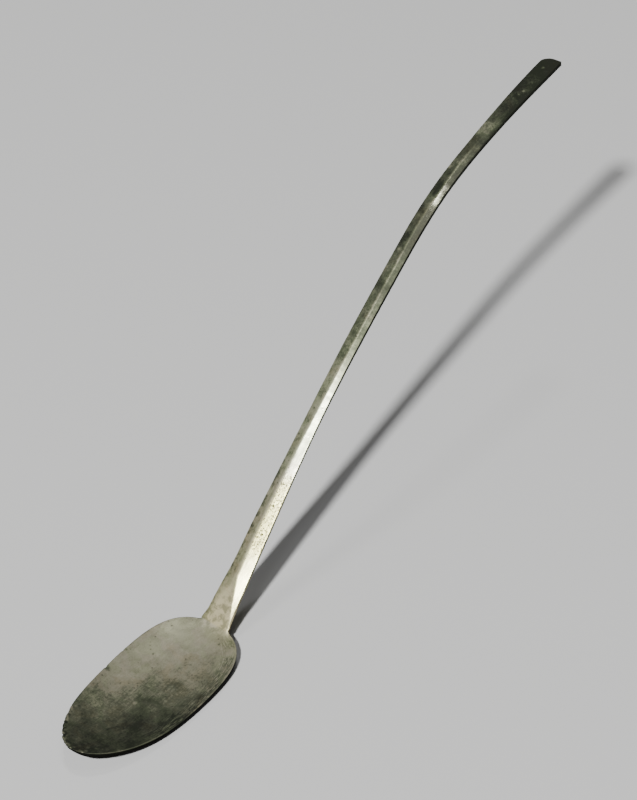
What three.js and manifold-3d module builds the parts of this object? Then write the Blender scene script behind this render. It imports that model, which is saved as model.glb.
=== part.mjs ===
// Long-handled metal spoon standing on its bowl: a shallow oblong bowl and a slim ridged handle
// that rises from the heel, bends back near its end, and is brazed to the bowl in a scarf joint.
// Millimetres. +X runs from the bowl towards the handle, +Y across, +Z up.
// The origin lies on the flat underside of the bowl, below the middle of its length.

import * as THREE from 'three';
import Module from 'manifold-3d';

const wasm = await Module();
wasm.setup();

// Bowl outline, seen from above: an ellipse, made fuller at the heel, squarer at the ends and more
// pointed at the tip. Together these changes draw the half width in to 16.0.
const BOWL_LENGTH = 69;
const BOWL_HALF_WIDTH = 16.7;
const HEEL_FULLNESS = 1.7;
const END_SQUARENESS = 0.85;
const TIP_POINTING = 0.42;

// Bowl section
const RIM_HEIGHT_MIDDLE = 3.8;
const RIM_HEIGHT_TIP = 8.4;
const RIM_HEIGHT_HEEL = 5.1;
const RIM_THICKNESS = 1.0;
const FLOOR_THICKNESS = 2.3;
const FLOOR_ROUNDNESS = 2.2;
const WALL_CURVE = 1.7;

// Flat that the bowl stands on, drawn from an ellipse of this size in the same way as the outline.
// It lies a little towards the heel, under the handle's weight.
const BASE_LENGTH = 57;
const BASE_WIDTH = 23;
const BASE_SHIFT = 2.6;

// Handle line in the upright plane through the axis. It leaves the heel at an angle, bows slowly,
// turns at the knee and bows a little more to its end. Angles are in degrees above the table.
const HANDLE_LENGTH = 216;
const NECK_RISE = 0.25;
const HEEL_ANGLE = 42.15;
const SHAFT_BOW = 8;
const SHAFT_BOW_START = 37.7;
const SHAFT_BOW_LENGTH = 86;
const KNEE_TURN = 20;
const KNEE_START = 122.7;
const KNEE_LENGTH = 48;
const END_BOW = 8;

// Handle width and thickness
const NECK_WIDTH = 9.1;
const NECK_TAPER_LENGTH = 72;
const NECK_TAPER_CURVE = 1.35;
const ROOT_FLARE = 1.2;
const ROOT_FLARE_LENGTH = 3.5;
const SHAFT_WIDTH = 4.95;
const END_WIDTH = 6.2;
const END_FLARE_LENGTH = 50;
const END_ROUND_LENGTH = 2.8;
const END_ROUND_POWER = 3;
const END_ROUND_CUT = 0.98;
const NECK_THICKNESS = 1.2;
const SHAFT_THICKNESS = 1.0;
const END_THICKNESS = 1.0;
const EDGE_CHAMFER = 0.18;

// Upper side of the handle. Two creases start at the corners of the neck and close on a ridge in
// the middle, which fades out before the flat end. Shares are of the half width, the slope of the
// facets beside the creases is rise over run.
const FACET_SLOPE = 0.26;
const CREASE_START = 1.5;
const CREASE_LENGTH = 15;
const CREASE_WIDEST_SHARE = 0.95;
const RIDGE_FLAT_SHARE = 0.06;
const RIDGE_FADE_LENGTH = 22;
const RIDGE_END_MARGIN = 36;

// Scarf joint at the heel. Tongue and handle stay 0.3 apart, and the braze all but fills that gap.
const SCARF_LENGTH = 6.5;
const SCARF_SETBACK = 0.5;
const BRAZE_THICKNESS = 0.2;
const BRAZE_CLEARANCE = 0.05;
const ROOT_DEPTH = 2.2;

// Facets
const BOWL_SEGMENTS = 96;
const WALL_RINGS = 6;
const FLOOR_RINGS = 10;
const HANDLE_STEP = 3;
const ROOT_STEP = 0.7;
const END_STATIONS = 6;
const LINE_STEP = 0.25;

const bronze = new THREE.MeshStandardMaterial({ color: 0x7d7a66, roughness: 0.5, metalness: 0.75 });
const darkBronze = new THREE.MeshStandardMaterial({ color: 0x6b6a54, roughness: 0.45, metalness: 0.8 });
const braze = new THREE.MeshStandardMaterial({ color: 0xa39c85, roughness: 0.55, metalness: 0.7 });

const smooth = (value) => THREE.MathUtils.smoothstep(value, 0, 1);

// Closed surface through rings of equal point counts, closed by a fan of triangles at each end.
// Seen against the direction in which the rings follow each other, each ring runs clockwise.
function loft(rings, startPoint, endPoint) {
  const count = rings[0].length;
  const points = [startPoint, ...rings.flat(), endPoint];
  const last = points.length - 1;
  const triangles = [];
  for (let i = 0; i < count; i += 1) {
    const next = (i + 1) % count;
    triangles.push(0, 1 + i, 1 + next);
    for (let ring = 0; ring < rings.length - 1; ring += 1) {
      const a = 1 + ring * count;
      const b = a + count;
      triangles.push(a + i, b + next, a + next);
      triangles.push(a + i, b + i, b + next);
    }
    const top = 1 + (rings.length - 1) * count;
    triangles.push(last, top + next, top + i);
  }
  return solid(points, triangles);
}

function solid(points, triangles) {
  const vertProperties = new Float32Array(points.flatMap((p) => [p.x, p.y, p.z]));
  const triVerts = new Uint32Array(triangles);
  return new wasm.Manifold(new wasm.Mesh({ numProp: 3, vertProperties, triVerts }));
}

// Outline of the bowl at angle t: 0 is the tip, pi is the heel
function outline(t) {
  const x = -0.5 * BOWL_LENGTH * Math.cos(t);
  const y = BOWL_HALF_WIDTH * Math.sin(t) - HEEL_FULLNESS * Math.sin(2 * t)
    + END_SQUARENESS * Math.sin(3 * t) - TIP_POINTING * Math.sin(4 * t);
  return new THREE.Vector2(x, y);
}

// The rim is lowest beside the middle of the bowl and rises to the tip and to the heel
function rimHeight(x) {
  const share = Math.abs(x) / (0.5 * BOWL_LENGTH);
  const end = x < 0 ? RIM_HEIGHT_TIP : RIM_HEIGHT_HEEL;
  return RIM_HEIGHT_MIDDLE + (end - RIM_HEIGHT_MIDDLE) * share * share;
}

function bowlRing(place) {
  const ring = [];
  for (let i = 0; i < BOWL_SEGMENTS; i += 1) {
    const t = (i + 0.5) / BOWL_SEGMENTS * 2 * Math.PI;
    ring.push(place(outline(t)));
  }
  return ring;
}

// Underside and wall, from the flat base (share 0) to the outer edge of the rim (share 1)
function wallRing(share) {
  return bowlRing((p) => {
    const baseX = BASE_SHIFT + p.x * BASE_LENGTH / BOWL_LENGTH;
    const baseY = p.y * BASE_WIDTH / (2 * BOWL_HALF_WIDTH);
    const x = THREE.MathUtils.lerp(baseX, p.x, share);
    const y = THREE.MathUtils.lerp(baseY, p.y, share);
    return new THREE.Vector3(x, y, rimHeight(p.x) * share ** WALL_CURVE);
  });
}

// Inside of the bowl, from the inner edge of the rim (share 1) to the middle (share 0)
function floorRing(share) {
  const lengthScale = 1 - 2 * RIM_THICKNESS / BOWL_LENGTH;
  const widthScale = 1 - RIM_THICKNESS / BOWL_HALF_WIDTH;
  return bowlRing((p) => {
    const rise = (rimHeight(p.x) - FLOOR_THICKNESS) * share ** FLOOR_ROUNDNESS;
    const x = p.x * lengthScale * share;
    const y = p.y * widthScale * share;
    return new THREE.Vector3(x, y, FLOOR_THICKNESS + rise);
  });
}

function bowlShell() {
  const rings = [];
  for (let i = 0; i <= WALL_RINGS; i += 1) {
    rings.push(wallRing(i / WALL_RINGS));
  }
  for (let i = 0; i < FLOOR_RINGS; i += 1) {
    rings.push(floorRing(1 - i / FLOOR_RINGS));
  }
  const under = new THREE.Vector3(0, 0, 0);
  const inside = new THREE.Vector3(0, 0, FLOOR_THICKNESS);
  return loft(rings, under, inside);
}

// Centre line of the handle, walked in short steps from the rim at the heel to the free end
const heel = new THREE.Vector2(0.5 * BOWL_LENGTH, RIM_HEIGHT_HEEL + NECK_RISE);

function handleAngle(distance) {
  const bow = SHAFT_BOW * smooth((distance - SHAFT_BOW_START) / SHAFT_BOW_LENGTH);
  const knee = KNEE_TURN * smooth((distance - KNEE_START) / KNEE_LENGTH);
  const endStart = KNEE_START + KNEE_LENGTH;
  const end = END_BOW * Math.max(distance - endStart, 0) / (HANDLE_LENGTH - endStart);
  return THREE.MathUtils.degToRad(HEEL_ANGLE - bow - knee - end);
}

const direction = (angle) => new THREE.Vector2(Math.cos(angle), Math.sin(angle));

function linePoint(distance) {
  const steps = Math.max(Math.round(Math.abs(distance) / LINE_STEP), 1);
  const step = distance / steps;
  const point = heel.clone();
  for (let i = 0; i < steps; i += 1) {
    point.addScaledVector(direction(handleAngle((i + 0.5) * step)), step);
  }
  return point;
}

// Half width, thickness, share of the flat between the creases and slope of the facets beside them
function section(distance) {
  const neckShare = Math.min(1 - distance / NECK_TAPER_LENGTH, 1);
  const neck = Math.max(neckShare, 0) ** NECK_TAPER_CURVE;
  const flare = Math.max(1 - Math.abs(distance) / ROOT_FLARE_LENGTH, 0) ** 2;
  const fromEnd = HANDLE_LENGTH - distance;
  const end = 1 - smooth(fromEnd / END_FLARE_LENGTH);
  const rounded = THREE.MathUtils.clamp(1 - fromEnd / END_ROUND_LENGTH, 0, END_ROUND_CUT);
  const endRound = (1 - rounded ** END_ROUND_POWER) ** (1 / END_ROUND_POWER);
  const width = SHAFT_WIDTH + (NECK_WIDTH - SHAFT_WIDTH) * neck
    + (END_WIDTH - SHAFT_WIDTH) * end + ROOT_FLARE * flare;
  const halfWidth = 0.5 * width * endRound;
  const thickness = SHAFT_THICKNESS + (NECK_THICKNESS - SHAFT_THICKNESS) * neck
    + (END_THICKNESS - SHAFT_THICKNESS) * end;
  const open = 1 - (distance - CREASE_START) / CREASE_LENGTH;
  const flatShare = THREE.MathUtils.clamp(open, RIDGE_FLAT_SHARE, CREASE_WIDEST_SHARE);
  const slope = FACET_SLOPE * smooth((fromEnd - RIDGE_END_MARGIN) / RIDGE_FADE_LENGTH);
  return { halfWidth, thickness, flatShare, slope };
}

// Section points across (y) and square to the line (n): flat below, two sloping facets above
function sectionPoints({ halfWidth, thickness, flatShare, slope }) {
  const low = -0.5 * thickness;
  const high = 0.5 * thickness;
  const inner = halfWidth - EDGE_CHAMFER;
  const crease = inner * flatShare;
  const rise = slope * (inner - crease);
  return [
    [-inner, low],
    [-halfWidth, low + EDGE_CHAMFER],
    [-halfWidth, high - EDGE_CHAMFER],
    [-inner, high],
    [-crease, high + rise],
    [crease, high + rise],
    [inner, high],
    [halfWidth, high - EDGE_CHAMFER],
    [halfWidth, low + EDGE_CHAMFER],
    [inner, low],
  ];
}

function station(distance) {
  const centre = linePoint(distance);
  const along = direction(handleAngle(distance));
  const ring = sectionPoints(section(distance)).map(([y, n]) => (
    new THREE.Vector3(centre.x - along.y * n, y, centre.y + along.x * n)
  ));
  return { centre: new THREE.Vector3(centre.x, 0, centre.y), ring };
}

function handleBlank() {
  const distances = [];
  for (let d = -ROOT_DEPTH; d < ROOT_FLARE_LENGTH; d += ROOT_STEP) {
    distances.push(d);
  }
  const straight = HANDLE_LENGTH - END_ROUND_LENGTH;
  const count = Math.ceil((straight - ROOT_FLARE_LENGTH) / HANDLE_STEP);
  for (let i = 0; i <= count; i += 1) {
    distances.push(THREE.MathUtils.lerp(ROOT_FLARE_LENGTH, straight, i / count));
  }
  for (let i = 1; i <= END_STATIONS; i += 1) {
    distances.push(straight + END_ROUND_LENGTH * Math.sin(0.5 * Math.PI * i / END_STATIONS));
  }
  const stations = distances.map(station);
  return loft(stations.map((s) => s.ring), stations[0].centre, stations.at(-1).centre);
}

// Block below the scarf plane at the heel, with its top face moved up from that plane by an offset
function belowScarf(offset) {
  const neckAngle = handleAngle(0);
  const neck = direction(neckAngle);
  const scarf = direction(neckAngle - Math.atan2(NECK_THICKNESS, SCARF_LENGTH));
  const normal = new THREE.Vector2(-scarf.y, scarf.x);
  const start = heel.clone().addScaledVector(new THREE.Vector2(-neck.y, neck.x), 0.5 * NECK_THICKNESS);
  start.addScaledVector(neck, -SCARF_SETBACK).addScaledVector(normal, offset);
  const corner = (along, up, y) => {
    const p = start.clone().addScaledVector(scarf, along).addScaledVector(normal, up);
    return new THREE.Vector3(p.x, y, p.y);
  };
  const reach = 2 * SCARF_LENGTH;
  const side = NECK_WIDTH + ROOT_FLARE;
  const ends = [-reach, reach].map((along) => [
    corner(along, -reach, -side),
    corner(along, 0, -side),
    corner(along, 0, side),
    corner(along, -reach, side),
  ]);
  return loft(ends, corner(-reach, -0.5 * reach, 0), corner(reach, -0.5 * reach, 0));
}

// The bowl carries a short tongue under the handle's root
function makeBowl(blank, shell) {
  return shell.add(blank.intersect(belowScarf(0)));
}

function makeBraze(blank, shell) {
  const under = belowScarf(BRAZE_CLEARANCE);
  return blank.intersect(belowScarf(BRAZE_CLEARANCE + BRAZE_THICKNESS)).subtract(under).subtract(shell);
}

function makeHandle(blank, shell) {
  return blank.subtract(belowScarf(BRAZE_THICKNESS + 2 * BRAZE_CLEARANCE)).subtract(shell);
}

function named(name, body, material) {
  const mesh = body.getMesh();
  const positions = [];
  for (let i = 0; i < mesh.numVert; i += 1) {
    const start = i * mesh.numProp;
    positions.push(...mesh.vertProperties.slice(start, start + 3));
  }
  const geometry = new THREE.BufferGeometry();
  geometry.setAttribute('position', new THREE.Float32BufferAttribute(positions, 3));
  geometry.setIndex(Array.from(mesh.triVerts));
  geometry.computeVertexNormals();
  const object = new THREE.Mesh(geometry, material);
  object.name = name;
  return object;
}

const blank = handleBlank();
const shell = bowlShell();
const group = new THREE.Group();
group.add(named('bowl', makeBowl(blank, shell), bronze));
group.add(named('braze_seam', makeBraze(blank, shell), braze));
group.add(named('handle', makeHandle(blank, shell), darkBronze));

export default group;
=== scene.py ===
"""A long-handled bronze spoon standing on its bowl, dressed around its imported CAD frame."""

import math

import bmesh
import bpy
from mathutils import Matrix, Vector, kdtree, noise


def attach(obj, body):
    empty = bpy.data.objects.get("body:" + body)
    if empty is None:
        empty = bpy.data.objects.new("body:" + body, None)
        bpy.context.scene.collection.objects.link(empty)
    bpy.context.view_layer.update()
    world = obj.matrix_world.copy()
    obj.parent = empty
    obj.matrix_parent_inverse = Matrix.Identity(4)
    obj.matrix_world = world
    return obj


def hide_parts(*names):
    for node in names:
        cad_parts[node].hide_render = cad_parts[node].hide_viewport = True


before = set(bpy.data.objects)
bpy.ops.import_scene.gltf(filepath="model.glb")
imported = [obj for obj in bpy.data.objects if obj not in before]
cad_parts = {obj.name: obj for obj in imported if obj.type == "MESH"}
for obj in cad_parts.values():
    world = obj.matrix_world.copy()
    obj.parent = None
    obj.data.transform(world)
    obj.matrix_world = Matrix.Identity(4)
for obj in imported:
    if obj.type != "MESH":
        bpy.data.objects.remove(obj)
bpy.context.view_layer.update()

MM = 0.001

# Bowl, as in the CAD model
BOWL_LENGTH = 69 * MM
BOWL_HALF_WIDTH = 16.7 * MM
HEEL_FULLNESS = 1.7 * MM
END_SQUARENESS = 0.85 * MM
TIP_POINTING = 0.42 * MM
RIM_HEIGHT_MIDDLE = 3.8 * MM
RIM_HEIGHT_TIP = 8.4 * MM
RIM_HEIGHT_HEEL = 5.1 * MM
FLOOR_THICKNESS = 2.3 * MM
FLOOR_ROUNDNESS = 2.2
BASE_LENGTH = 57 * MM
BASE_WIDTH = 23 * MM
BASE_SHIFT = 2.6 * MM
WALL_CURVE = 1.7

# Handle, as in the CAD model
HANDLE_LENGTH = 216 * MM
NECK_RISE = 0.25 * MM
HEEL_ANGLE = 42.15
SHAFT_BOW = 8
SHAFT_BOW_START = 37.7 * MM
SHAFT_BOW_LENGTH = 86 * MM
KNEE_TURN = 20
KNEE_START = 122.7 * MM
KNEE_LENGTH = 48 * MM
END_BOW = 8
NECK_WIDTH = 9.1 * MM
NECK_TAPER_LENGTH = 72 * MM
NECK_TAPER_CURVE = 1.35
ROOT_FLARE = 1.2 * MM
ROOT_FLARE_LENGTH = 3.5 * MM
SHAFT_WIDTH = 4.95 * MM
END_WIDTH = 6.2 * MM
END_FLARE_LENGTH = 50 * MM
END_ROUND_LENGTH = 2.8 * MM
END_ROUND_POWER = 3
END_ROUND_CUT = 0.98
NECK_THICKNESS = 1.2 * MM
SHAFT_THICKNESS = 1.0 * MM
END_THICKNESS = 1.0 * MM
FACET_SLOPE = 0.26
CREASE_START = 1.5 * MM
CREASE_LENGTH = 15 * MM
CREASE_WIDEST_SHARE = 0.95
RIDGE_FLAT_SHARE = 0.06
RIDGE_FADE_LENGTH = 22 * MM
RIDGE_END_MARGIN = 36 * MM
SCARF_LENGTH = 6.5 * MM
SCARF_SETBACK = 0.5 * MM
ROOT_DEPTH = 2.2 * MM
LINE_STEP = 0.25 * MM

# Finer forms of the bowl than the CAD model has. The rim's tilt is rise over run, up towards the
# far side. The band is the rim's upright outer edge, from the under share outwards.
RIM_TILT = 0.055
# The band is painted near black with the painted shade, standing in for the dark line of shade under
# the rim.
RIM_BAND = 0.7 * MM
UNDER_SHARE = 0.8
WALL_TOP_SHARE = 0.985
FLOOR_TOP_SHARE = 0.99
LIP_WIDTH = 0.38 * MM
LIP_DROP = 0.06 * MM
WEAR_DROP = 0.3
RAGGED_TIP_START = -17 * MM
RAGGED_TIP_LENGTH = 6 * MM

# The same for the handle. The seam's bow carries the rim's curve across the neck. The narrow side
# is the neck's far one, and the worn flat is where the glint lies.
EDGE_RADIUS = 0.12 * MM
NECK_BLEND = 0.9 * MM
NECK_BLEND_SIDE = 1.3 * MM
SEAM_HALF = 0.06 * MM
SEAM_BOW = 0.6 * MM
TONGUE_SINK = 0.04 * MM
SCARF_BLEND = 10 * MM
END_SLANT = 0.32
END_SLANT_LENGTH = 5 * MM
NEAR_CORNER_POWER = 0.94
NARROW_SIDE_SHARE = 0.10
NARROW_SIDE_PLACE = 20 * MM
NARROW_SIDE_REACH = 13 * MM
WORN_FLAT_PLACE = 147.5 * MM
WORN_FLAT_REACH = 16 * MM

# Mesh fineness
AROUND = 480
WALL_RINGS = 14
LIP_RINGS = 5
FLOOR_RINGS = 76
STATIONS = 460
SCARF_RINGS = 14
END_STATIONS = 10
MERGE_DISTANCE = 0.002 * MM
BOWL_CREASE_ANGLE = 50
HANDLE_CREASE_ANGLE = 60

# Camera, fitted to the photograph. It is placed from a point on the table under the bowl's tip.
CAMERA_BASE = (-35 * MM, 0, 0)
CAMERA_AZIMUTH = math.radians(-54.83)
CAMERA_ELEVATION = math.radians(37.99)
CAMERA_DISTANCE = 858.4 * MM
CAMERA_RIGHT = 70.75 * MM
CAMERA_UP = 106.1 * MM
FOCAL_PIXELS = 3000
IMAGE_HEIGHT = 800
SENSOR = 36
CLIP_START = 0.01

# Lamps as (name, direction, size in metres, power in watts). The first two directions come from
# the shadows in the photograph, the third from the glint at the handle's knee.
LAMPS = [
    ("key", (-0.906, -0.264, 1), 0.25, 262),
    ("second", (0.16, 0.13, 1), 0.55, 21),
    ("third", (0.013, -0.186, 1), 0.36, 7),
]
LAMP_DISTANCE = 4.0
LAMP_TARGET = (0.06, 0, 0.03)
WORLD_STRENGTH = 0.055

FLOOR_REACH = 4.0
FLOOR_COLOUR = (0.595, 0.595, 0.59)
FLOOR_ROUGHNESS = 0.9
FLOOR_SPECULAR = 0.2


def smooth(value):
    value = min(max(value, 0), 1)
    return value * value * (3 - 2 * value)


def uneven(point, size, seed):
    """Smooth hand-made unevenness from -1 to 1 with features of about that size."""
    return noise.noise(Vector(point) / size + Vector((seed, 0, 0)))


def bell(distance, reach):
    """1 at no distance, falling smoothly to 0 at reach."""
    return 1 - smooth(abs(distance) / reach)


# Handle line and section

def handle_angle(distance):
    bow = SHAFT_BOW * smooth((distance - SHAFT_BOW_START) / SHAFT_BOW_LENGTH)
    knee = KNEE_TURN * smooth((distance - KNEE_START) / KNEE_LENGTH)
    end_start = KNEE_START + KNEE_LENGTH
    end = END_BOW * max(distance - end_start, 0) / (HANDLE_LENGTH - end_start)
    return math.radians(HEEL_ANGLE - bow - knee - end)


def walk_line():
    """Points of the centre line every LINE_STEP, from the heel to the free end."""
    points = [Vector((0.5 * BOWL_LENGTH, 0, RIM_HEIGHT_HEEL + NECK_RISE))]
    for i in range(math.ceil(HANDLE_LENGTH / LINE_STEP) + 1):
        angle = handle_angle((i + 0.5) * LINE_STEP)
        points.append(points[-1] + LINE_STEP * Vector((math.cos(angle), 0, math.sin(angle))))
    return points


LINE = walk_line()


def line_point(distance):
    if distance < 0:
        angle = handle_angle(0)
        return LINE[0] + distance * Vector((math.cos(angle), 0, math.sin(angle)))
    index = int(distance / LINE_STEP)
    return LINE[index].lerp(LINE[index + 1], distance / LINE_STEP - index)


def line_normal(distance):
    angle = handle_angle(distance)
    return Vector((-math.sin(angle), 0, math.cos(angle)))


def end_rounding(distance):
    """Share of the width that the rounding of the free end leaves."""
    rounded = min(max(1 - (HANDLE_LENGTH - distance) / END_ROUND_LENGTH, 0), END_ROUND_CUT)
    return (1 - rounded ** END_ROUND_POWER) ** (1 / END_ROUND_POWER)


def half_width(distance):
    neck = max(min(1 - distance / NECK_TAPER_LENGTH, 1), 0) ** NECK_TAPER_CURVE
    flare = max(1 - abs(distance) / ROOT_FLARE_LENGTH, 0) ** 2
    end = 1 - smooth((HANDLE_LENGTH - distance) / END_FLARE_LENGTH)
    width = (SHAFT_WIDTH + (NECK_WIDTH - SHAFT_WIDTH) * neck
             + (END_WIDTH - SHAFT_WIDTH) * end + ROOT_FLARE * flare)
    return 0.5 * width * end_rounding(distance)


def half_thickness(distance):
    neck = max(min(1 - distance / NECK_TAPER_LENGTH, 1), 0) ** NECK_TAPER_CURVE
    end = 1 - smooth((HANDLE_LENGTH - distance) / END_FLARE_LENGTH)
    return 0.5 * (SHAFT_THICKNESS + (NECK_THICKNESS - SHAFT_THICKNESS) * neck
                  + (END_THICKNESS - SHAFT_THICKNESS) * end)


def ridge_fade(distance):
    return smooth((HANDLE_LENGTH - distance - RIDGE_END_MARGIN) / RIDGE_FADE_LENGTH)


def flat_share(distance):
    """Share of the half width that is flat between the two creases: all at the neck, then a ridge."""
    opening = 1 - (distance - CREASE_START) / CREASE_LENGTH
    return min(max(opening, RIDGE_FLAT_SHARE), CREASE_WIDEST_SHARE)


# How far the hand-made ridge strays from the middle, as (distance in millimetres, share)
RIDGE_DRIFT = [(0, 0), (16, 0.02), (31, 0.15), (50, 0.10), (60, 0.05), (66, -0.05), (80, -0.24),
               (95, -0.32), (121, -0.29), (135, -0.20), (150, -0.29), (165, -0.2), (185, 0), (216, 0)]

# How much deeper the handle is than in the CAD model, as (distance, depth), both in millimetres
EXTRA_DEPTH = [(0, 0), (62, 0), (100, 0.20), (160, 0.38), (200, 0.60), (216, 0.60)]


def along_table(distance, table):
    """Value between the entries (distance in millimetres, value) of a table."""
    here = distance / MM
    for (start, first), (stop, last) in zip(table, table[1:]):
        if here < stop:
            return first + (last - first) * max(here - start, 0) / (stop - start)
    return table[-1][1]


def section_places(distance):
    """Shares of the half width at which the section's upper and lower sides have their points."""
    flat = flat_share(distance)
    facet = [1 - (1 - flat) * i / 6 for i in range(7)]
    middle = [flat * (1 - i / 3) for i in range(1, 6)]
    upper = [-u for u in facet] + [-u for u in middle] + facet[::-1]
    lower = [1 - 2 * i / 12 for i in range(13)]
    return upper, lower


def section_points(distance):
    """Points across (y) and square to the line (n), clockwise seen along the handle."""
    half = half_width(distance)
    thick = half_thickness(distance)
    flat = flat_share(distance)
    radius = min(EDGE_RADIUS, 0.45 * half)
    inner = half - radius
    ridge = FACET_SLOPE * ridge_fade(distance) * inner * (1 - flat)
    drift = along_table(distance, RIDGE_DRIFT)
    below = thick + along_table(distance, EXTRA_DEPTH) * MM
    upper, lower = section_places(distance)
    points = []
    for turn in (1, 0.67, 0.33):
        points.append((-inner - radius * math.cos(0.5 * math.pi * turn),
                       -below + radius - radius * math.sin(0.5 * math.pi * turn)))
    for turn in (0.33, 0.67):
        points.append((-inner - radius * math.cos(0.5 * math.pi * turn),
                       thick - radius + radius * math.sin(0.5 * math.pi * turn)))
    for share in upper:
        rise = ridge * min((1 - abs(share)) / (1 - flat), 1)
        points.append((inner * (share + drift * (1 - abs(share))), thick + rise))
    for turn in (0.67, 0.33):
        points.append((inner + radius * math.cos(0.5 * math.pi * turn),
                       thick - radius + radius * math.sin(0.5 * math.pi * turn)))
    for turn in (0.33, 0.67, 1):
        points.append((inner + radius * math.cos(0.5 * math.pi * turn),
                       -below + radius - radius * math.sin(0.5 * math.pi * turn)))
    for share in lower[1:-1]:
        points.append((inner * share, -below))
    return points


def hand_work(distance, y, n):
    """Small moves of a handle point: its waists, ragged edges, narrow side and hammered faces."""
    where = Vector((distance, y, n))
    waist = 1 - 0.02 - 0.018 * uneven((distance, 0, 0), 13 * MM, 5)
    ragged = 0.05 * MM * (uneven((distance, 0, 0), 1.6 * MM, 11 if y > 0 else 17) - 1)
    keep = smooth(distance / (4 * MM))
    if y > 0:
        waist -= NARROW_SIDE_SHARE * bell(distance - NARROW_SIDE_PLACE, NARROW_SIDE_REACH)
    y = y * (1 + (waist - 1) * keep) + math.copysign(ragged * keep, y)
    worn_flat = 1 - 0.95 * bell(distance - WORN_FLAT_PLACE, WORN_FLAT_REACH)
    hammered = 0.035 * uneven(where, 6 * MM, 23) + 0.012 * uneven(where, 1.5 * MM, 29)
    lift = hammered * worn_flat - 0.03
    return y, n + lift * MM * keep


def place(distance, y, n):
    """Point of the handle at a distance along the line, across it and square to it."""
    y, n = hand_work(distance, y, n)
    if y < 0:
        y /= end_rounding(distance) ** NEAR_CORNER_POWER
    near_end = smooth(1 - (HANDLE_LENGTH - distance) / END_SLANT_LENGTH)
    distance = min(distance - END_SLANT * y * near_end, HANDLE_LENGTH)
    p = line_point(distance) + line_normal(distance) * n
    p.y += y
    return p


def scarf_distance(y, n):
    """Where the scarf cuts the neck at y and at the height n over the centre line."""
    bow = SEAM_BOW * (y / half_width(0)) ** 2
    return (0.5 * NECK_THICKNESS - n) * SCARF_LENGTH / NECK_THICKNESS - SCARF_SETBACK - bow


def root_start(_y, _n):
    return -ROOT_DEPTH


def seam_start(y, n):
    return scarf_distance(y, n) - SEAM_HALF


def seam_stop(y, n):
    return scarf_distance(y, n) + SEAM_HALF


def neck_stop(_y, _n):
    return SCARF_BLEND


def ring_at(start_of, stop, share):
    """Ring between an oblique start, given for each place y, n, and a square or oblique stop."""
    ring = []
    for i, (y0, n0) in enumerate(section_points(0)):
        first = start_of(y0, n0)
        last = stop(y0, n0)
        distance = first + (last - first) * share
        y, n = section_points(distance)[i]
        ring.append(place(distance, y, n))
    return ring


def middle_of(ring):
    return sum(ring, Vector()) / len(ring)


# Meshes

def loft_mesh(name, rings):
    """Closed mesh through rings of equal point counts, with a fan of faces at each end."""
    count = len(rings[0])
    points = [middle_of(rings[0])] + [p for ring in rings for p in ring] + [middle_of(rings[-1])]
    last = len(points) - 1
    faces = []
    for i in range(count):
        after = (i + 1) % count
        faces.append((0, 1 + i, 1 + after))
        for ring in range(len(rings) - 1):
            a = 1 + ring * count
            b = a + count
            faces.append((a + i, b + i, b + after, a + after))
        top = 1 + (len(rings) - 1) * count
        faces.append((last, top + after, top + i))
    mesh = bpy.data.meshes.new(name)
    mesh.from_pydata([tuple(p) for p in points], [], faces)
    mesh.validate()
    piece = bpy.data.objects.new(name, mesh)
    bpy.context.scene.collection.objects.link(piece)
    return piece


def join(piece, other):
    """Unite two closed pieces into one closed mesh and drop the second."""
    union = piece.modifiers.new("join", "BOOLEAN")
    union.operation = "UNION"
    union.solver = "EXACT"
    union.object = other
    graph = bpy.context.evaluated_depsgraph_get()
    mesh = bpy.data.meshes.new_from_object(piece.evaluated_get(graph))
    piece.modifiers.clear()
    piece.data = mesh
    bpy.data.objects.remove(other)


def finish_mesh(piece, crease_angle):
    """Smooth shading with sharp edges only where faces meet at more than the angle."""
    work = bmesh.new()
    work.from_mesh(piece.data)
    bmesh.ops.remove_doubles(work, verts=work.verts, dist=MERGE_DISTANCE)
    bmesh.ops.recalc_face_normals(work, faces=work.faces)
    work.to_mesh(piece.data)
    work.free()
    piece.data.shade_smooth()
    piece.data.set_sharp_from_angle(angle=math.radians(crease_angle))


def paint(piece, name, value_at):
    """Store a number for each point of the mesh, worked out from its place and its normal."""
    layer = piece.data.attributes.new(name, "FLOAT", "POINT")
    for vertex, item in zip(piece.data.vertices, layer.data):
        item.value = value_at(vertex.co, vertex.normal)


# Bowl

def outline(t):
    """Place on the bowl's outline at the angle t, which is 0 at the tip and half a turn at the heel."""
    x = -0.5 * BOWL_LENGTH * math.cos(t)
    y = (BOWL_HALF_WIDTH * math.sin(t) - HEEL_FULLNESS * math.sin(2 * t)
         + END_SQUARENESS * math.sin(3 * t) - TIP_POINTING * math.sin(4 * t))
    return x, y


# Chips in the rim as (x, y, reach along the rim, depth), in millimetres
RIM_CHIPS = [
    (-19.6, 13.6, 0.8, 0.45),
    (-22.0, 12.6, 1.0, 0.5),
    (-24.4, 11.6, 0.7, 0.35),
    (-26.6, 10.2, 1.0, 0.45),
    (-28.6, 8.4, 0.6, 0.3),
    (-31.0, 6.4, 0.9, 0.35),
    (-34.6, -3.2, 0.9, 0.55),
    (-32.4, -6.0, 0.5, 0.25),
    (1.0, 16.2, 1.1, 0.25),
    (9.5, 16.2, 0.7, 0.18),
]


def rim_wear(x, y):
    """How far the rim is worn back at a place of its outline."""
    at_tip = smooth((RAGGED_TIP_START - x) / RAGGED_TIP_LENGTH) * smooth((y + 8 * MM) / (6 * MM))
    wear = (0.03 + 0.24 * at_tip) * (1 + uneven((x, y, 0), 0.9 * MM, 31))
    wear += 0.04 * (1 + uneven((x, y, 0), 5 * MM, 37))
    for chip_x, chip_y, reach, depth in RIM_CHIPS:
        gap = math.hypot(x - chip_x * MM, y - chip_y * MM)
        wear += depth * bell(gap, reach * MM)
    return wear * MM


def worn_outline(t):
    x, y = outline(t)
    wear = rim_wear(x, y)
    scale = 1 - wear / math.hypot(x, y)
    return x * scale, y * scale, wear


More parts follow.
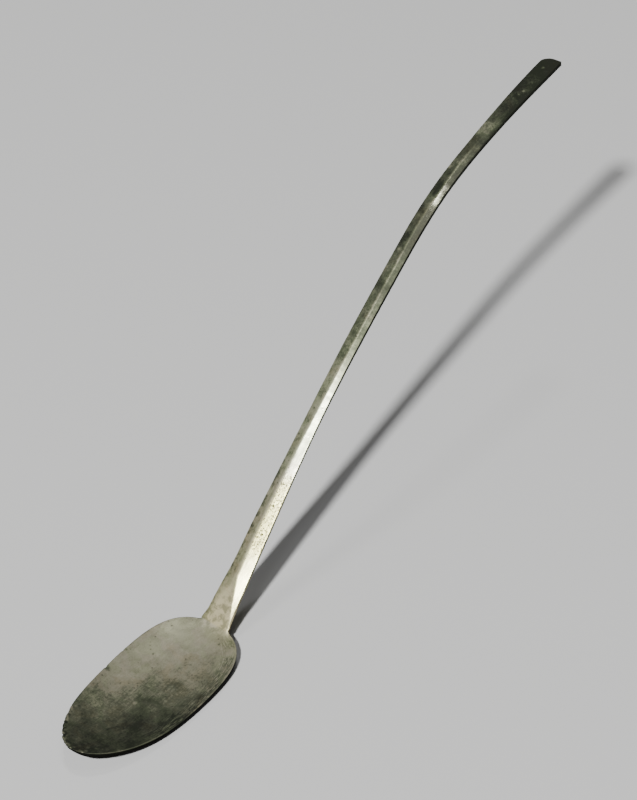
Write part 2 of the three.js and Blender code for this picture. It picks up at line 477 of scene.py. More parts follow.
def rim_height(x, y):
    share = abs(x) / (0.5 * BOWL_LENGTH)
    end = RIM_HEIGHT_TIP if x < 0 else RIM_HEIGHT_HEEL
    return RIM_HEIGHT_MIDDLE + (end - RIM_HEIGHT_MIDDLE) * share * share + RIM_TILT * y


def wall_point(t, share):
    """Point of the outside, from the flat base (share 0) to the outer edge of the rim (share 1)."""
    x, y, wear = worn_outline(t)
    base_x = BASE_SHIFT + x * BASE_LENGTH / BOWL_LENGTH
    base_y = y * BASE_WIDTH / (2 * BOWL_HALF_WIDTH)
    out = min(share / UNDER_SHARE, 1)
    under = (rim_height(x, y) - WEAR_DROP * wear - RIM_BAND) * out ** WALL_CURVE
    height = under + RIM_BAND * max(share - UNDER_SHARE, 0) / (1 - UNDER_SHARE)
    p = Vector((base_x + (x - base_x) * out, base_y + (y - base_y) * out, height))
    hammered = smooth(share / 0.3) * (1 - smooth((share - 0.6) / 0.2))
    p.z += 0.06 * MM * hammered * uneven(p, 7 * MM, 41)
    return p


def floor_point(t, share):
    """Point of the inside, from its middle (share 0) to the inner edge of the rim (share 1)."""
    x, y, wear = worn_outline(t)
    rise = (rim_height(x, y) - WEAR_DROP * wear - FLOOR_THICKNESS) * share ** FLOOR_ROUNDNESS
    length_scale = 1 - 2 * LIP_WIDTH / BOWL_LENGTH
    width_scale = 1 - LIP_WIDTH / BOWL_HALF_WIDTH
    p = Vector((x * length_scale * share, y * width_scale * share, FLOOR_THICKNESS + rise))
    hammered = 0.10 * uneven(p, 9 * MM, 3) + 0.04 * uneven(p, 2.6 * MM, 7) - 0.07
    p.z += MM * hammered * (1 - 0.6 * smooth((share - 0.85) / 0.15))
    return p


def blend_up(low, high, reach):
    """The higher of two heights, with a soft hollow where they meet."""
    closeness = min(max(0.5 + 0.5 * (high - low) / reach, 0), 1)
    return low + (high - low) * closeness + reach * closeness * (1 - closeness)


def flow_into_neck(p):
    """Raise the inside of the heel until it runs on into the upper face of the neck."""
    slope = math.tan(handle_angle(0))
    top = (RIM_HEIGHT_HEEL + NECK_RISE + 0.5 * NECK_THICKNESS / math.cos(handle_angle(0))
           + (p.x - 0.5 * BOWL_LENGTH) * slope)
    half = half_width(0)
    inside = 1 - smooth((abs(p.y) - half + 0.4 * NECK_BLEND_SIDE) / NECK_BLEND_SIDE)
    near = smooth((p.x - 0.5 * BOWL_LENGTH + 6 * MM) / (2 * MM))
    raised = blend_up(p.z, top, NECK_BLEND)
    p.z += (raised - p.z) * inside * near
    return p


def bowl_rings():
    """Rings up the outside from the base, over the lip and down the inside to its middle."""
    angles = [(i + 0.5) / AROUND * 2 * math.pi for i in range(AROUND)]
    rings = []
    for ring in range(WALL_RINGS):
        rings.append([wall_point(t, WALL_TOP_SHARE * ring / (WALL_RINGS - 1)) for t in angles])
    for ring in range(LIP_RINGS):
        turn = math.pi * (ring + 0.5) / LIP_RINGS
        lip = []
        for t in angles:
            outer = wall_point(t, 1)
            inner = floor_point(t, 1)
            middle = (outer + inner) / 2
            drop = LIP_DROP * (1 - math.sin(turn))
            p = middle + (outer - inner) / 2 * math.cos(turn) - Vector((0, 0, drop))
            lip.append(flow_into_neck(p))
        rings.append(lip)
    for ring in range(FLOOR_RINGS):
        share = FLOOR_TOP_SHARE * (1 - ring / FLOOR_RINGS)
        rings.append([flow_into_neck(floor_point(t, share)) for t in angles])
    return rings


def make_bowl():
    bowl = loft_mesh("bowl_metal", bowl_rings())
    rings = []
    for i in range(SCARF_RINGS + 1):
        ring = ring_at(root_start, seam_start, i / SCARF_RINGS)
        rings.append([p - line_normal(0) * TONGUE_SINK for p in ring])
    join(bowl, loft_mesh("tongue", rings))
    finish_mesh(bowl, BOWL_CREASE_ANGLE)
    return bowl


def make_handle():
    rings = []
    for i in range(SCARF_RINGS):
        rings.append(ring_at(seam_stop, neck_stop, i / SCARF_RINGS))
    straight = HANDLE_LENGTH - END_ROUND_LENGTH
    distances = [SCARF_BLEND + (straight - SCARF_BLEND) * i / STATIONS for i in range(STATIONS + 1)]
    for i in range(1, END_STATIONS + 1):
        distances.append(straight + END_ROUND_LENGTH * math.sin(0.5 * math.pi * i / END_STATIONS))
    for distance in distances:
        rings.append([place(distance, y, n) for y, n in section_points(distance)])
    handle = loft_mesh("handle_metal", rings)
    finish_mesh(handle, HANDLE_CREASE_ANGLE)
    return handle


def make_seam():
    """The film of hard solder, a hair lower than the metal on both sides of it."""
    rings = []
    for i in range(3):
        ring = ring_at(seam_start, seam_stop, i / 2)
        centre = middle_of(ring)
        rings.append([p + (centre - p).normalized() * TONGUE_SINK for p in ring])
    seam = loft_mesh("braze_line", rings)
    finish_mesh(seam, HANDLE_CREASE_ANGLE)
    return seam


# Wear and stains

# The middle of the rim's lip as a share of the inside, and about how far apart its points lie
RIM_LINE_SHARE = 1.012
RIM_LINE_STEP = 0.4 * MM


def tree_of(points):
    tree = kdtree.KDTree(len(points))
    for i, p in enumerate(points):
        tree.insert(p, i)
    tree.balance()
    return tree


DISTANCES = tree_of(LINE)
RIM = tree_of([floor_point(i / AROUND * 2 * math.pi, RIM_LINE_SHARE) for i in range(AROUND)])


def distance_of(p):
    """How far along the handle's line a point lies."""
    return DISTANCES.find((p.x, 0, p.z))[1] * LINE_STEP


# Light (+) and dark (-) places in the bowl as (x, y, reach in millimetres, change of tone)
BOWL_MARKS = [
    (28, -11.5, 4.0, 0.30),
    (33, 3.2, 1.6, 0.25),
    (24, 9, 7.0, 0.10),
    (14.6, 8.6, 0.5, -0.6),
    (15.5, 10.2, 0.45, -0.5),
    (16.6, 11.2, 0.4, -0.5),
    (17.6, 11.8, 0.35, -0.4),
    (1.0, 15.2, 1.8, -0.45),
    (4.8, 11.6, 2.6, 0.16),
    (-3.8, 9.0, 3.4, 0.22),
    (-8.0, 12.0, 3.0, -0.20),
    (-4.3, 0.6, 1.2, 0.45),
    (8.5, -4.0, 4.2, -0.22),
    (2.0, 2.5, 2.5, -0.12),
    (-1.5, -1.5, 4.0, -0.18),
    (-13, 9.5, 3.5, 0.14),
    (-30.0, -2.6, 1.3, 0.35),
    (-28.6, -4.6, 1.0, 0.25),
    (-27.0, 8.0, 2.0, 0.12),
    (-19.0, 12.8, 1.2, 0.35),
    (-21.0, 12.6, 0.8, 0.60),
    (-33.4, 2.5, 1.0, 0.50),
    (-32.4, 5.0, 0.9, 0.50),
    (-33.2, -0.2, 0.8, 0.40),
    (-31.0, 7.0, 0.7, 0.40),
    (-32.0, -3.5, 0.8, 0.40),
    (-25.0, -9.5, 0.7, 0.35),
    (10.5, 15.4, 1.0, -0.35),
    (-24.0, 6.0, 4.0, 0.10),
    (-14.0, -6.0, 5.0, -0.10),
    (12.0, -8.0, 5.0, 0.10),
    (18.0, -1.0, 4.0, -0.08),
]

# The same along the handle as (distance from the heel, y, reach, change of tone)
HANDLE_MARKS = [
    (2, -2.0, 2.2, -0.14),
    (4, 3.4, 4.0, -0.16),
    (8, 3.2, 4.0, -0.12),
    (9, 0.5, 3.0, 0.10),
    (17.5, 2.0, 2.0, -0.20),
    (22, 1.5, 1.5, 0.12),
    (36, 1.6, 1.6, 0.10),
    (97, 1.0, 2.5, -0.20),
    (114, 1.2, 2.5, -0.20),
    (126.5, 1.0, 1.3, 0.60),
    (129, 0.4, 0.8, 0.30),
    (131, 1.6, 2.0, -0.20),
    (139, 1.2, 2.0, 0.18),
    (150, 1.2, 5.0, -0.22),
    (158.5, 2.0, 1.2, 0.42),
    (162, -0.4, 3.0, 0.18),
    (177, 1.0, 5.0, 0.30),
    (182, -0.6, 3.0, 0.12),
    (195.5, 0.0, 0.7, 0.50),
    (197.6, -0.5, 0.7, 0.55),
    (193.2, 0.6, 0.6, 0.35),
    (202.6, -0.5, 0.8, 0.45),
    (210.4, 0.3, 0.9, 0.60),
    (212.0, -0.8, 0.6, 0.30),
]


def marks_at(along, across, marks):
    """Change of tone that the marks make at a place."""
    total = 0
    for mark_along, mark_across, reach, change in marks:
        ragged = 0.35 * reach * uneven((along, across, 0), 1.2 * MM, 43)
        gap = math.hypot(along - mark_along * MM, across - mark_across * MM)
        total += change * bell(gap, (reach + ragged) * MM)
    return total


def ragged_tip(p):
    """Bright and dark bits along the ragged edge of the tip."""
    gap = RIM.find(p)[2]
    ragged = bell(gap, 1.8 * MM) * smooth((RAGGED_TIP_START - p.x) / RAGGED_TIP_LENGTH)
    ragged *= smooth((p.y + 6 * MM) / (5 * MM))
    return 1.3 * ragged * (uneven(p, 0.9 * MM, 53) + 0.08)


def rim_gap(p, _):
    """How far a place lies from the rim. The rubbing marks follow this and rim_turn."""
    return RIM.find(p)[2]


def rim_turn(p, _):
    """How far along the rim the place lies."""
    return RIM.find(p)[1] * RIM_LINE_STEP


def rim_rub(p, _):
    """1 where the inside is rubbed along the near rim."""
    gap = RIM.find(p)[2]
    inside = bell(gap - 1.4 * MM, 4.2 * MM) * smooth((-p.y - 3 * MM) / (4 * MM))
    return inside * smooth((p.x + 20 * MM) / (16 * MM)) * smooth(0.8 + uneven(p, 4 * MM, 59))


# The bowl's tone in its middle, its rise per millimetre along and across, and its limits. The rise is
# partly patina and partly painted light, lighter towards the heel and far side.
MIDDLE_TONE = 0.44
TONE_AND_LIGHT_ALONG = 0.0160
TONE_AND_LIGHT_ACROSS = 0.020
DARKEST_TONE = 0.11
LIGHTEST_TONE = 0.86


def bowl_tone(p):
    """0 is dark patina, 1 is worn light metal: darker at the tip and lighter at the heel and far side,
    partly patina and partly painted light.
    """
    tone = MIDDLE_TONE + TONE_AND_LIGHT_ALONG * p.x / MM + TONE_AND_LIGHT_ACROSS * p.y / MM
    tone = min(max(tone, DARKEST_TONE), LIGHTEST_TONE)
    return tone + marks_at(p.x, p.y, BOWL_MARKS) + ragged_tip(p)


# Values along the handle as (distance from the heel in millimetres, value). Warmth is cream above 0
# and green below it, and the side shade is how dark the painted shade on the handle's side is.
HANDLE_TONES = [(0, 0.78), (14, 0.83), (22, 0.71), (40, 0.67), (48, 0.74), (56, 0.52), (64, 0.84),
                (75, 0.58), (86, 0.46), (98, 0.45), (105, 0.37), (115, 0.36), (125, 0.23), (140, 0.25),
                (175, 0.25), (183, 0.22), (195, 0.05), (216, -0.10)]
FACET_POLISH = [(0, -0.8), (5, -0.5), (8, 0.5), (11, 1.1), (20, 1.1), (24, 0.9), (48, 0.95), (53, 1.4),
                (78, 1.3), (84, 0.6), (96, 0.12), (112, 0.1), (125, 0.1), (143.5, 0.25), (145, 1.3),
                (151, 1.3), (152.5, 0.2), (160, 0.1), (175, 0), (216, 0)]
FACET_GLOSS = [(0, 0), (9, 0.8), (20, 0.8), (24, 0.4), (48, 0.42), (54, 0.8), (80, 0.8), (104, 0.75),
               (130, 0.8), (142, 1), (145, 1.25), (151, 1.25), (154, 0.9), (160, 0.7), (175, 0),
               (216, 0)]
HANDLE_WARMTH = [(0, 0.5), (12, 0.4), (20, 0.3), (44, 0.1), (56, -0.7), (80, -0.6), (110, -0.2),
                 (216, -0.2)]
FACET_WARMTH = [(0, 0), (10, 0.3), (20, 0.4), (26, 0.8), (46, 0.8), (54, 0.1), (62, -0.3),
                (100, -0.2), (216, 0)]
SIDE_SHADE = [(0, 0.05), (30, 0.15), (60, 0.4), (90, 0.9), (105, 1), (216, 1)]

# The knee's glint, the third lamp's reflection. The polish and gloss peaks there brighten and smooth
# the metal under it: rubbed metal, partly a painted highlight.
GLINT_PLACE = 148 * MM
GLINT_REACH = 8 * MM


def handle_tone(p):
    """The worn tone along the handle, spotted on the neck's far edge, with painted shade along the
    end's near edge.
    """
    along = distance_of(p)
    # Painted shade along the end's near edge, widening its dark side
    near_edge_shade = bell(p.y + half_width(along), 1.5 * MM) * smooth((along - 150 * MM) / (30 * MM))
    far_edge = bell(p.y - 0.9 * half_width(along), 1.5 * MM) * smooth((62 * MM - along) / (16 * MM))
    spots = smooth(0.35 + 1.7 * uneven((along, p.y, 0), 1.7 * MM, 67))
    tone = along_table(along, HANDLE_TONES) + marks_at(along, p.y, HANDLE_MARKS)
    return tone - 0.2 * near_edge_shade - 0.45 * far_edge * spots


def bowl_rim_wear_and_highlight(p, _):
    """1 on the rim's near side, rubbed bright and lightened further as a painted highlight, and below 0
    on its far side, which is darker.
    """
    near_side = smooth((2 * MM - p.y) / (10 * MM))
    return bell(RIM.find(p)[2], 0.38 * MM) * (1.5 * near_side - 0.4)


def ridge_place(along):
    """Where the ridge runs across the handle."""
    return along_table(along, RIDGE_DRIFT) * half_width(along)


def handle_edge(p, _):
    """1 on the ridge, where hands have rubbed the patina off."""
    along = distance_of(p)
    return bell(p.y - ridge_place(along), 0.45 * MM) * ridge_fade(along) * (1 - flat_share(along))


def shaded(_, normal):
    """1 where the surface looks sideways or down. The materials paint shade there, darkening the dark
    patina that nothing has worn off towards black.
    """
    return 1 - smooth((normal.z - 0.18) / 0.32)


# Painted shade on the handle's sides and underside, weaker towards the neck.
def side_shaded(p, normal):
    return shaded(p, normal) * along_table(distance_of(p), SIDE_SHADE)


def nothing(_p, _normal):
    return 0.0


def bowl_crust(p, _):
    """How sharply dark crust and bare metal part: little towards the near rim at the heel."""
    near_heel = smooth((-p.y - 5 * MM) / (5 * MM)) * smooth((p.x + 8 * MM) / (12 * MM))
    return 0.22 * (1 - 0.7 * near_heel)


def handle_crust(_p, _normal):
    return 0.24


def bowl_warmth(p, _):
    """Cream where the bowl runs on into the neck, and at the heel beside it."""
    return 0.5 * smooth((p.x - 24 * MM) / (14 * MM)) * smooth((6 * MM - p.y) / (12 * MM))


def bowl_polish(p, _):
    """Below 0 where the chalky patina of the neck runs on into the bowl."""
    ragged = 1.2 * MM * uneven(p, 2.5 * MM, 61)
    near_heel = smooth((p.x - 29.5 * MM + ragged) / (6 * MM))
    near_middle = smooth((8 * MM - abs(p.y + 1.5 * MM) + ragged) / (5 * MM))
    return -near_heel * near_middle


def handle_warmth(p, normal):
    along = distance_of(p)
    facet = on_facet(p, normal, along)
    return along_table(along, HANDLE_WARMTH) + facet * along_table(along, FACET_WARMTH)


def on_facet(p, normal, along):
    """1 on the rubbed facet towards the viewer."""
    crease = ridge_place(along) - flat_share(along) * half_width(along)
    return smooth((crease + 0.1 * MM - p.y) / (0.3 * MM)) * smooth((normal.z - 0.45) / 0.15)


def facet_polish(p, normal):
    """How far the patina is rubbed off the facet towards the viewer. Below 0 is the chalky neck. At the
    glint the rubbed metal is partly a painted highlight, weaker towards the facet's outer edge.
    """
    along = distance_of(p)
    facet = on_facet(p, normal, along)
    chalky = 1 - smooth((along - 6 * MM) / (9 * MM))
    chalky *= 1 - 0.85 * bell(p.y - half_width(along), 2.4 * MM)
    glint_edge = bell(along - GLINT_PLACE, GLINT_REACH) * smooth((-0.7 * MM - p.y) / (1.2 * MM))
    return facet * along_table(along, FACET_POLISH) * (1 - 0.8 * glint_edge) - (1 - facet) * chalky


def facet_gloss(p, normal):
    """How smooth the same facet is rubbed."""
    along = distance_of(p)
    return on_facet(p, normal, along) * along_table(along, FACET_GLOSS)


# Materials

def new_material(name):
    material = bpy.data.materials.new(name)
    material.use_nodes = True
    tree = material.node_tree
    return material, tree, tree.nodes["Principled BSDF"]


def connect(tree, value, socket):
    if isinstance(value, (int, float)):
        socket.default_value = value
    elif isinstance(value, tuple):
        socket.default_value = (*value, 1)
    else:
        tree.links.new(value, socket)


def math_node(tree, operation, *values, clamp=False):
    node = tree.nodes.new("ShaderNodeMath")
    node.operation = operation
    node.use_clamp = clamp
    for socket, value in zip(node.inputs, values):
        connect(tree, value, socket)
    return node.outputs[0]


def noise_node(tree, vector, scale, detail=6, rough=0.6, distortion=0.0):
    node = tree.nodes.new("ShaderNodeTexNoise")
    node.inputs["Scale"].default_value = scale
    node.inputs["Detail"].default_value = detail
    node.inputs["Roughness"].default_value = rough
    node.inputs["Distortion"].default_value = distortion
    tree.links.new(vector, node.inputs["Vector"])
    return node.outputs["Fac"]


def stretched(tree, vector, scale):
    node = tree.nodes.new("ShaderNodeMapping")
    node.inputs["Scale"].default_value = scale
    tree.links.new(vector, node.inputs["Vector"])
    return node.outputs["Vector"]


def ramp(tree, factor, stops):
    node = tree.nodes.new("ShaderNodeValToRGB")
    elements = node.color_ramp.elements
    while len(elements) < len(stops):
        elements.new(0.5)
    for element, (position, value) in zip(elements, stops):
        colour = value if isinstance(value, tuple) else (value, value, value)
        element.position = position
        element.color = (*colour, 1)
    tree.links.new(factor, node.inputs["Fac"])
    return node.outputs["Color"]


def mix(tree, factor, a, b, blend="MIX"):
    node = tree.nodes.new("ShaderNodeMix")
    node.data_type = "RGBA"
    node.blend_type = blend
    connect(tree, factor, node.inputs["Factor"])
    connect(tree, a, node.inputs[6])
    connect(tree, b, node.inputs[7])
    return node.outputs[2]


def attribute(tree, name):
    node = tree.nodes.new("ShaderNodeAttribute")
    node.attribute_name = name
    return node.outputs["Fac"]


def weighted(tree, base, layers):
    """Base plus each layer's distance from its mean of one half, times its weight."""
    for layer, weight in layers:
        centred = math_node(tree, "SUBTRACT", layer, 0.5)
        base = math_node(tree, "MULTIPLY_ADD", centred, weight, base)
    return base


def tinted(tree, factor, colour, tint):
    """The colour, multiplied by the tint as far as the factor says."""
    return mix(tree, factor, colour, mix(tree, 1.0, colour, tint, "MULTIPLY"))


# Noises of the patina as (scale per metre, detail, roughness, distortion)
CLOUD = (130, 4, 0.55, 0.6)
BLOTCH = (420, 5, 0.62, 0.5)
SPECK = (1500, 4, 0.7, 0.2)
GRAIN = (4200, 2, 0.6)
STROKE = (1900, 3, 0.6)
FLAKE = (950, 6, 0.78, 0.3)
STREAK = (2500, 3, 0.7)
HUE = (170, 3, 0.5, 0.8)
FLECK = (1700, 2, 0.6, 0.4)
DIRT = (1600, 5, 0.72, 0.2)
PIT_GROUPS = (330, 2)
PIT_CELLS = 560
PITTED_ABOVE = 0.56
RELIEF = 0.08 * MM

# How the strokes of wear are drawn out, as scales along the three axes
BOWL_STROKE = (0.07, 1.0, 1.0)
HANDLE_STROKE = (0.10, 1.0, 0.14)
RIM_STROKE = (1.0, 0.11, 1.0)

# Near black of the painted shade on sides facing sideways or down
PAINTED_SHADE_BLACK = (0.006, 0.006, 0.005)
DARK = (0.028, 0.030, 0.023)
OLIVE = (0.081, 0.086, 0.059)
DRAB = (0.158, 0.162, 0.111)
BEIGE = (0.302, 0.289, 0.206)
PALE = (0.460, 0.432, 0.325)
POLISHED = (0.600, 0.575, 0.450)
DULL_CHALK = (0.250, 0.237, 0.170)
CHALK = (0.455, 0.413, 0.315)
CREAM_TINT = (1.0, 0.965, 0.59)
GREEN_TINT = (0.91, 1.0, 0.90)
GREEN_PATCH_TINT = (0.93, 1.0, 0.90)
WARM_PATCH_TINT = (1.0, 0.94, 0.86)
TONE_COLOURS = [(0.0, DARK), (0.25, OLIVE), (0.5, DRAB), (0.74, BEIGE), (1.0, PALE)]


def patina(name, along, contrast, matt, painted_shade_darkness, metal):
    """Patinated bronze. The tone stored in the mesh says how worn it is, with painted light and shade
    in places, and noise breaks it up.

    Along draws the strokes of wear out, contrast is how strongly the noises mottle the tone, matt is
    the middling roughness, painted_shade_darkness how dark the painted shade on sides facing sideways
    or down is, and metal how far worn places turn metallic.
    """
    material, tree, shader = new_material(name)
    place_out = tree.nodes.new("ShaderNodeTexCoord").outputs["Object"]
    cloud = noise_node(tree, place_out, *CLOUD)
    blotch = noise_node(tree, place_out, *BLOTCH)
    speck = noise_node(tree, place_out, *SPECK)
    grain = noise_node(tree, place_out, *GRAIN)
    stroke = noise_node(tree, stretched(tree, place_out, along), *STROKE)
    flake = noise_node(tree, place_out, *FLAKE)

    # The tone, mottled, with flakes of crust, rubbing marks along the rim, rubbed edges and a painted
    # highlight on the bowl's near rim
    tone = weighted(tree, attribute(tree, "tone"), [
        (cloud, 0.75 * contrast), (blotch, 0.45 * contrast), (stroke, 0.30)])
    crust = math_node(tree, "MULTIPLY_ADD", tone, 4.0, -1.3)
    crust = weighted(tree, crust, [(flake, 7.0)])
    crust = math_node(tree, "MAXIMUM", math_node(tree, "MINIMUM", crust, 1.0), 0.0)
    crust = math_node(tree, "SUBTRACT", crust, tone)
    tone = math_node(tree, "MULTIPLY_ADD", crust, attribute(tree, "crust"), tone)
    tone = weighted(tree, tone, [(speck, 0.40 * contrast), (grain, 0.25 * contrast)])
    along_rim = tree.nodes.new("ShaderNodeCombineXYZ")
    tree.links.new(attribute(tree, "gap"), along_rim.inputs["X"])
    tree.links.new(attribute(tree, "turn"), along_rim.inputs["Y"])
    streak = noise_node(tree, stretched(tree, along_rim.outputs["Vector"], RIM_STROKE), *STREAK)
    streak = ramp(tree, streak, [(0.49, 0.0), (0.58, 1.0)])
    streak = math_node(tree, "SUBTRACT", streak, 0.33)
    streak = math_node(tree, "MULTIPLY", streak, attribute(tree, "rub"))
    tone = math_node(tree, "MULTIPLY_ADD", streak, 0.7, tone)
    # Rubbed edges: the handle's ridge, and the bowl's near rim with a painted highlight
    tone = math_node(tree, "MULTIPLY_ADD", attribute(tree, "edge"), 0.5, tone)
    # Painted shade: sides facing sideways or down lose their tone here, and below they are darkened
    # towards black
    shade = attribute(tree, "shade")
    unshaded_share = math_node(tree, "MULTIPLY_ADD", shade, -0.95, 1.0)
    tone = math_node(tree, "MULTIPLY", math_node(tree, "MAXIMUM", tone, 0.0), unshaded_share, clamp=True)

    # Its colour, with green and warm patches and dark flecks where it is middling
    colour = ramp(tree, tone, TONE_COLOURS)
    hue = noise_node(tree, place_out, *HUE)
    green = ramp(tree, hue, [(0.42, 1.0), (0.54, 0.0)])
    colour = tinted(tree, math_node(tree, "MULTIPLY", green, 0.7), colour, GREEN_PATCH_TINT)
    warm = ramp(tree, hue, [(0.55, 0.0), (0.66, 1.0)])
    colour = tinted(tree, math_node(tree, "MULTIPLY", warm, 0.6), colour, WARM_PATCH_TINT)
    fleck = ramp(tree, noise_node(tree, place_out, *FLECK), [(0.57, 0.0), (0.62, 1.0)])
    middling = ramp(tree, tone, [(0.20, 0.0), (0.40, 1.0), (0.60, 1.0), (0.80, 0.0)])
    fleck = math_node(tree, "MULTIPLY", fleck, middling)
    colour = mix(tree, math_node(tree, "MULTIPLY", fleck, 0.8), colour, OLIVE)

    # Pits, in groups
    cells = tree.nodes.new("ShaderNodeTexVoronoi")
    cells.inputs["Scale"].default_value = PIT_CELLS
    tree.links.new(place_out, cells.inputs["Vector"])
    chosen = math_node(tree, "GREATER_THAN", noise_node(tree, place_out, *PIT_GROUPS), PITTED_ABOVE)
    pit = ramp(tree, cells.outputs["Distance"], [(0.10, 1.0), (0.22, 0.0)])
    pit = math_node(tree, "MULTIPLY", pit, chosen)
    colour = mix(tree, math_node(tree, "MULTIPLY", pit, 0.6), colour, DARK)

    # Polished metal with dirt in it, chalky patina, cream and green places, and painted shade on sides
    # facing sideways or down
    gloss = attribute(tree, "gloss")
    polish = attribute(tree, "polish")
    colour = mix(tree, math_node(tree, "MULTIPLY", polish, 0.7, clamp=True), colour, POLISHED)
    dirt = ramp(tree, noise_node(tree, place_out, *DIRT), [(0.51, 0.0), (0.60, 1.0)])
    for share in (math_node(tree, "MULTIPLY_ADD", gloss, -4.0, 2.6, clamp=True),
                  math_node(tree, "MULTIPLY", polish, 1.1, clamp=True)):
        dirt = math_node(tree, "MULTIPLY", dirt, share)
    colour = mix(tree, dirt, colour, OLIVE)
    mottled = weighted(tree, 0.5, [(blotch, 2.4), (cloud, 1.2), (speck, 1.0)])
    chalky = ramp(tree, mottled, [(0.32, DULL_CHALK), (0.66, CHALK)])
    colour = mix(tree, math_node(tree, "MULTIPLY", polish, -1.0, clamp=True), colour, chalky)
    warmth = attribute(tree, "warmth")
    for turned, tint in ((1.0, CREAM_TINT), (-1.0, GREEN_TINT)):
        factor = math_node(tree, "MULTIPLY", warmth, turned, clamp=True)
        colour = tinted(tree, factor, colour, tint)
    # Painted shade, darkening sides that face sideways or down towards near black
    colour = mix(tree, math_node(tree, "MULTIPLY", shade, painted_shade_darkness), colour, PAINTED_SHADE_BLACK)
    tree.links.new(colour, shader.inputs["Base Color"])
    shader.inputs["Specular IOR Level"].default_value = 0.0

    # Metal, roughness and relief
    worn = math_node(tree, "MULTIPLY_ADD", tone, metal, 0.35, clamp=True)
    worn = math_node(tree, "MULTIPLY_ADD", polish, 0.3, worn, clamp=True)
    worn = math_node(tree, "MULTIPLY_ADD", dirt, -0.9, worn, clamp=True)
    # Painted shade also takes the metal off sides that face sideways or down
    tree.links.new(math_node(tree, "MULTIPLY", worn, unshaded_share), shader.inputs["Metallic"])
    uneven_matt = math_node(tree, "MULTIPLY", tone, -0.12)
    uneven_matt = weighted(tree, uneven_matt, [(blotch, 0.22), (speck, 0.16)])
    dull = math_node(tree, "SUBTRACT", 1.0, gloss)
    rough = math_node(tree, "MULTIPLY_ADD", uneven_matt, dull, matt)
    rough = math_node(tree, "MULTIPLY_ADD", gloss, -0.24, rough)
    tree.links.new(rough, shader.inputs["Roughness"])
    height = weighted(tree, math_node(tree, "MULTIPLY", pit, -0.6),
                      [(blotch, 0.5), (speck, 0.6), (grain, 0.25), (stroke, 0.5)])
    bump = tree.nodes.new("ShaderNodeBump")
    bump.inputs["Distance"].default_value = RELIEF
    strength = math_node(tree, "MULTIPLY_ADD", gloss, -0.45, 0.5, clamp=True)
    tree.links.new(strength, bump.inputs["Strength"])
    tree.links.new(height, bump.inputs["Height"])
    tree.links.new(bump.outputs["Normal"], shader.inputs["Normal"])
    return material


# The layers of numbers that the materials read from a mesh
LAYERS = ("tone", "crust", "edge", "shade", "polish", "gloss", "warmth", "gap", "turn", "rub")


def dress(piece, material, slot, node, **painters):
    """Paint every layer, with nothing where no painter is given, and place the piece."""
    for layer in LAYERS:
        paint(piece, layer, painters.get(layer, nothing))
    piece.data.materials.clear()
    piece.data.materials.append(material)
    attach(piece, "root")
    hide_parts(node)


def bowl_piece_tone(p, _):
    """The tongue past the rim takes the handle's tone, so that the two flow together."""
    beyond = smooth((p.x - 0.5 * BOWL_LENGTH + 3 * MM) / (3 * MM))
    return bowl_tone(p) * (1 - beyond) + handle_tone(p) * beyond


def handle_piece_tone(p, _):
    return handle_tone(p)


dress(make_bowl(),
      patina("bowl_patina", BOWL_STROKE, contrast=1.0, matt=0.54, painted_shade_darkness=0.9, metal=0.45),
      "bowl_bronze", "bowl",
      tone=bowl_piece_tone, edge=bowl_rim_wear_and_highlight, crust=bowl_crust, shade=shaded, polish=bowl_polish,
      warmth=bowl_warmth, gap=rim_gap, turn=rim_turn, rub=rim_rub)
dress(make_handle(),
      patina("handle_patina", HANDLE_STROKE, contrast=1.3, matt=0.46, painted_shade_darkness=0.85, metal=0.25),
      "handle_bronze", "handle",
      tone=handle_piece_tone, edge=handle_edge, crust=handle_crust, shade=side_shaded,
      polish=facet_polish, gloss=facet_gloss, warmth=handle_warmth)
dress(make_seam(),
      patina("braze_patina", HANDLE_STROKE, contrast=0.8, matt=0.46, painted_shade_darkness=0.3, metal=0.25),
      "braze", "braze_seam",
      tone=handle_piece_tone, crust=handle_crust, shade=shaded, polish=facet_polish,
      warmth=handle_warmth)


# Floor, light and camera

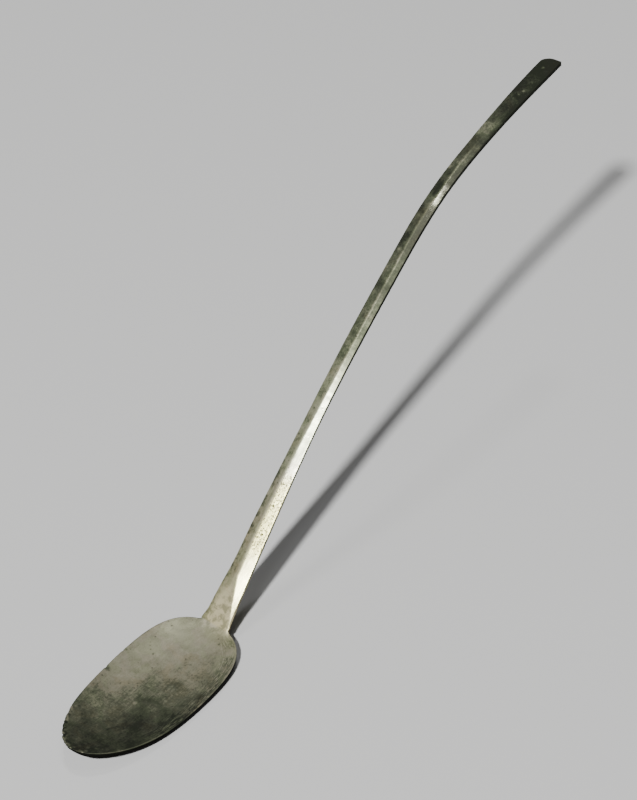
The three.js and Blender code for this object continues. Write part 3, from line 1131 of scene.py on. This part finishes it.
def make_floor():
    mesh = bpy.data.meshes.new("floor")
    corners = [(x * FLOOR_REACH, y * FLOOR_REACH, 0) for x, y in ((-1, -1), (1, -1), (1, 1), (-1, 1))]
    mesh.from_pydata(corners, [], [(0, 1, 2, 3)])
    floor = bpy.data.objects.new("floor", mesh)
    bpy.context.scene.collection.objects.link(floor)
    material, _, shader = new_material("floor_paper")
    shader.inputs["Base Color"].default_value = (*FLOOR_COLOUR, 1)
    shader.inputs["Roughness"].default_value = FLOOR_ROUGHNESS
    shader.inputs["Specular IOR Level"].default_value = FLOOR_SPECULAR
    mesh.materials.append(material)


def make_lamp(name, direction, size, power):
    light = bpy.data.lights.new(name, "AREA")
    light.shape = "DISK"
    light.size = size
    light.energy = power
    piece = bpy.data.objects.new(name, light)
    bpy.context.scene.collection.objects.link(piece)
    target = Vector(LAMP_TARGET)
    where = Vector(direction).normalized() * LAMP_DISTANCE + target
    piece.location = where
    piece.rotation_euler = (target - where).to_track_quat("-Z", "Y").to_euler()


def make_world():
    world = bpy.data.worlds.new("studio")
    bpy.context.scene.world = world
    world.use_nodes = True
    background = world.node_tree.nodes["Background"]
    background.inputs["Color"].default_value = (1, 1, 1, 1)
    background.inputs["Strength"].default_value = WORLD_STRENGTH


def make_camera():
    a = CAMERA_AZIMUTH
    e = CAMERA_ELEVATION
    forward = Vector((-math.sin(a) * math.cos(e), math.cos(a) * math.cos(e), -math.sin(e)))
    right = Vector((math.cos(a), math.sin(a), 0))
    up = right.cross(forward)
    camera = bpy.data.objects.new("camera", bpy.data.cameras.new("camera"))
    bpy.context.scene.collection.objects.link(camera)
    where = Vector(CAMERA_BASE) - forward * CAMERA_DISTANCE + right * CAMERA_RIGHT + up * CAMERA_UP
    turn = Matrix((right, up, -forward)).transposed()
    camera.matrix_world = Matrix.Translation(where) @ turn.to_4x4()
    camera.data.sensor_width = SENSOR
    camera.data.lens = FOCAL_PIXELS * SENSOR / IMAGE_HEIGHT
    camera.data.clip_start = CLIP_START
    bpy.context.scene.camera = camera


make_floor()
make_world()
for lamp_values in LAMPS:
    make_lamp(*lamp_values)
make_camera()
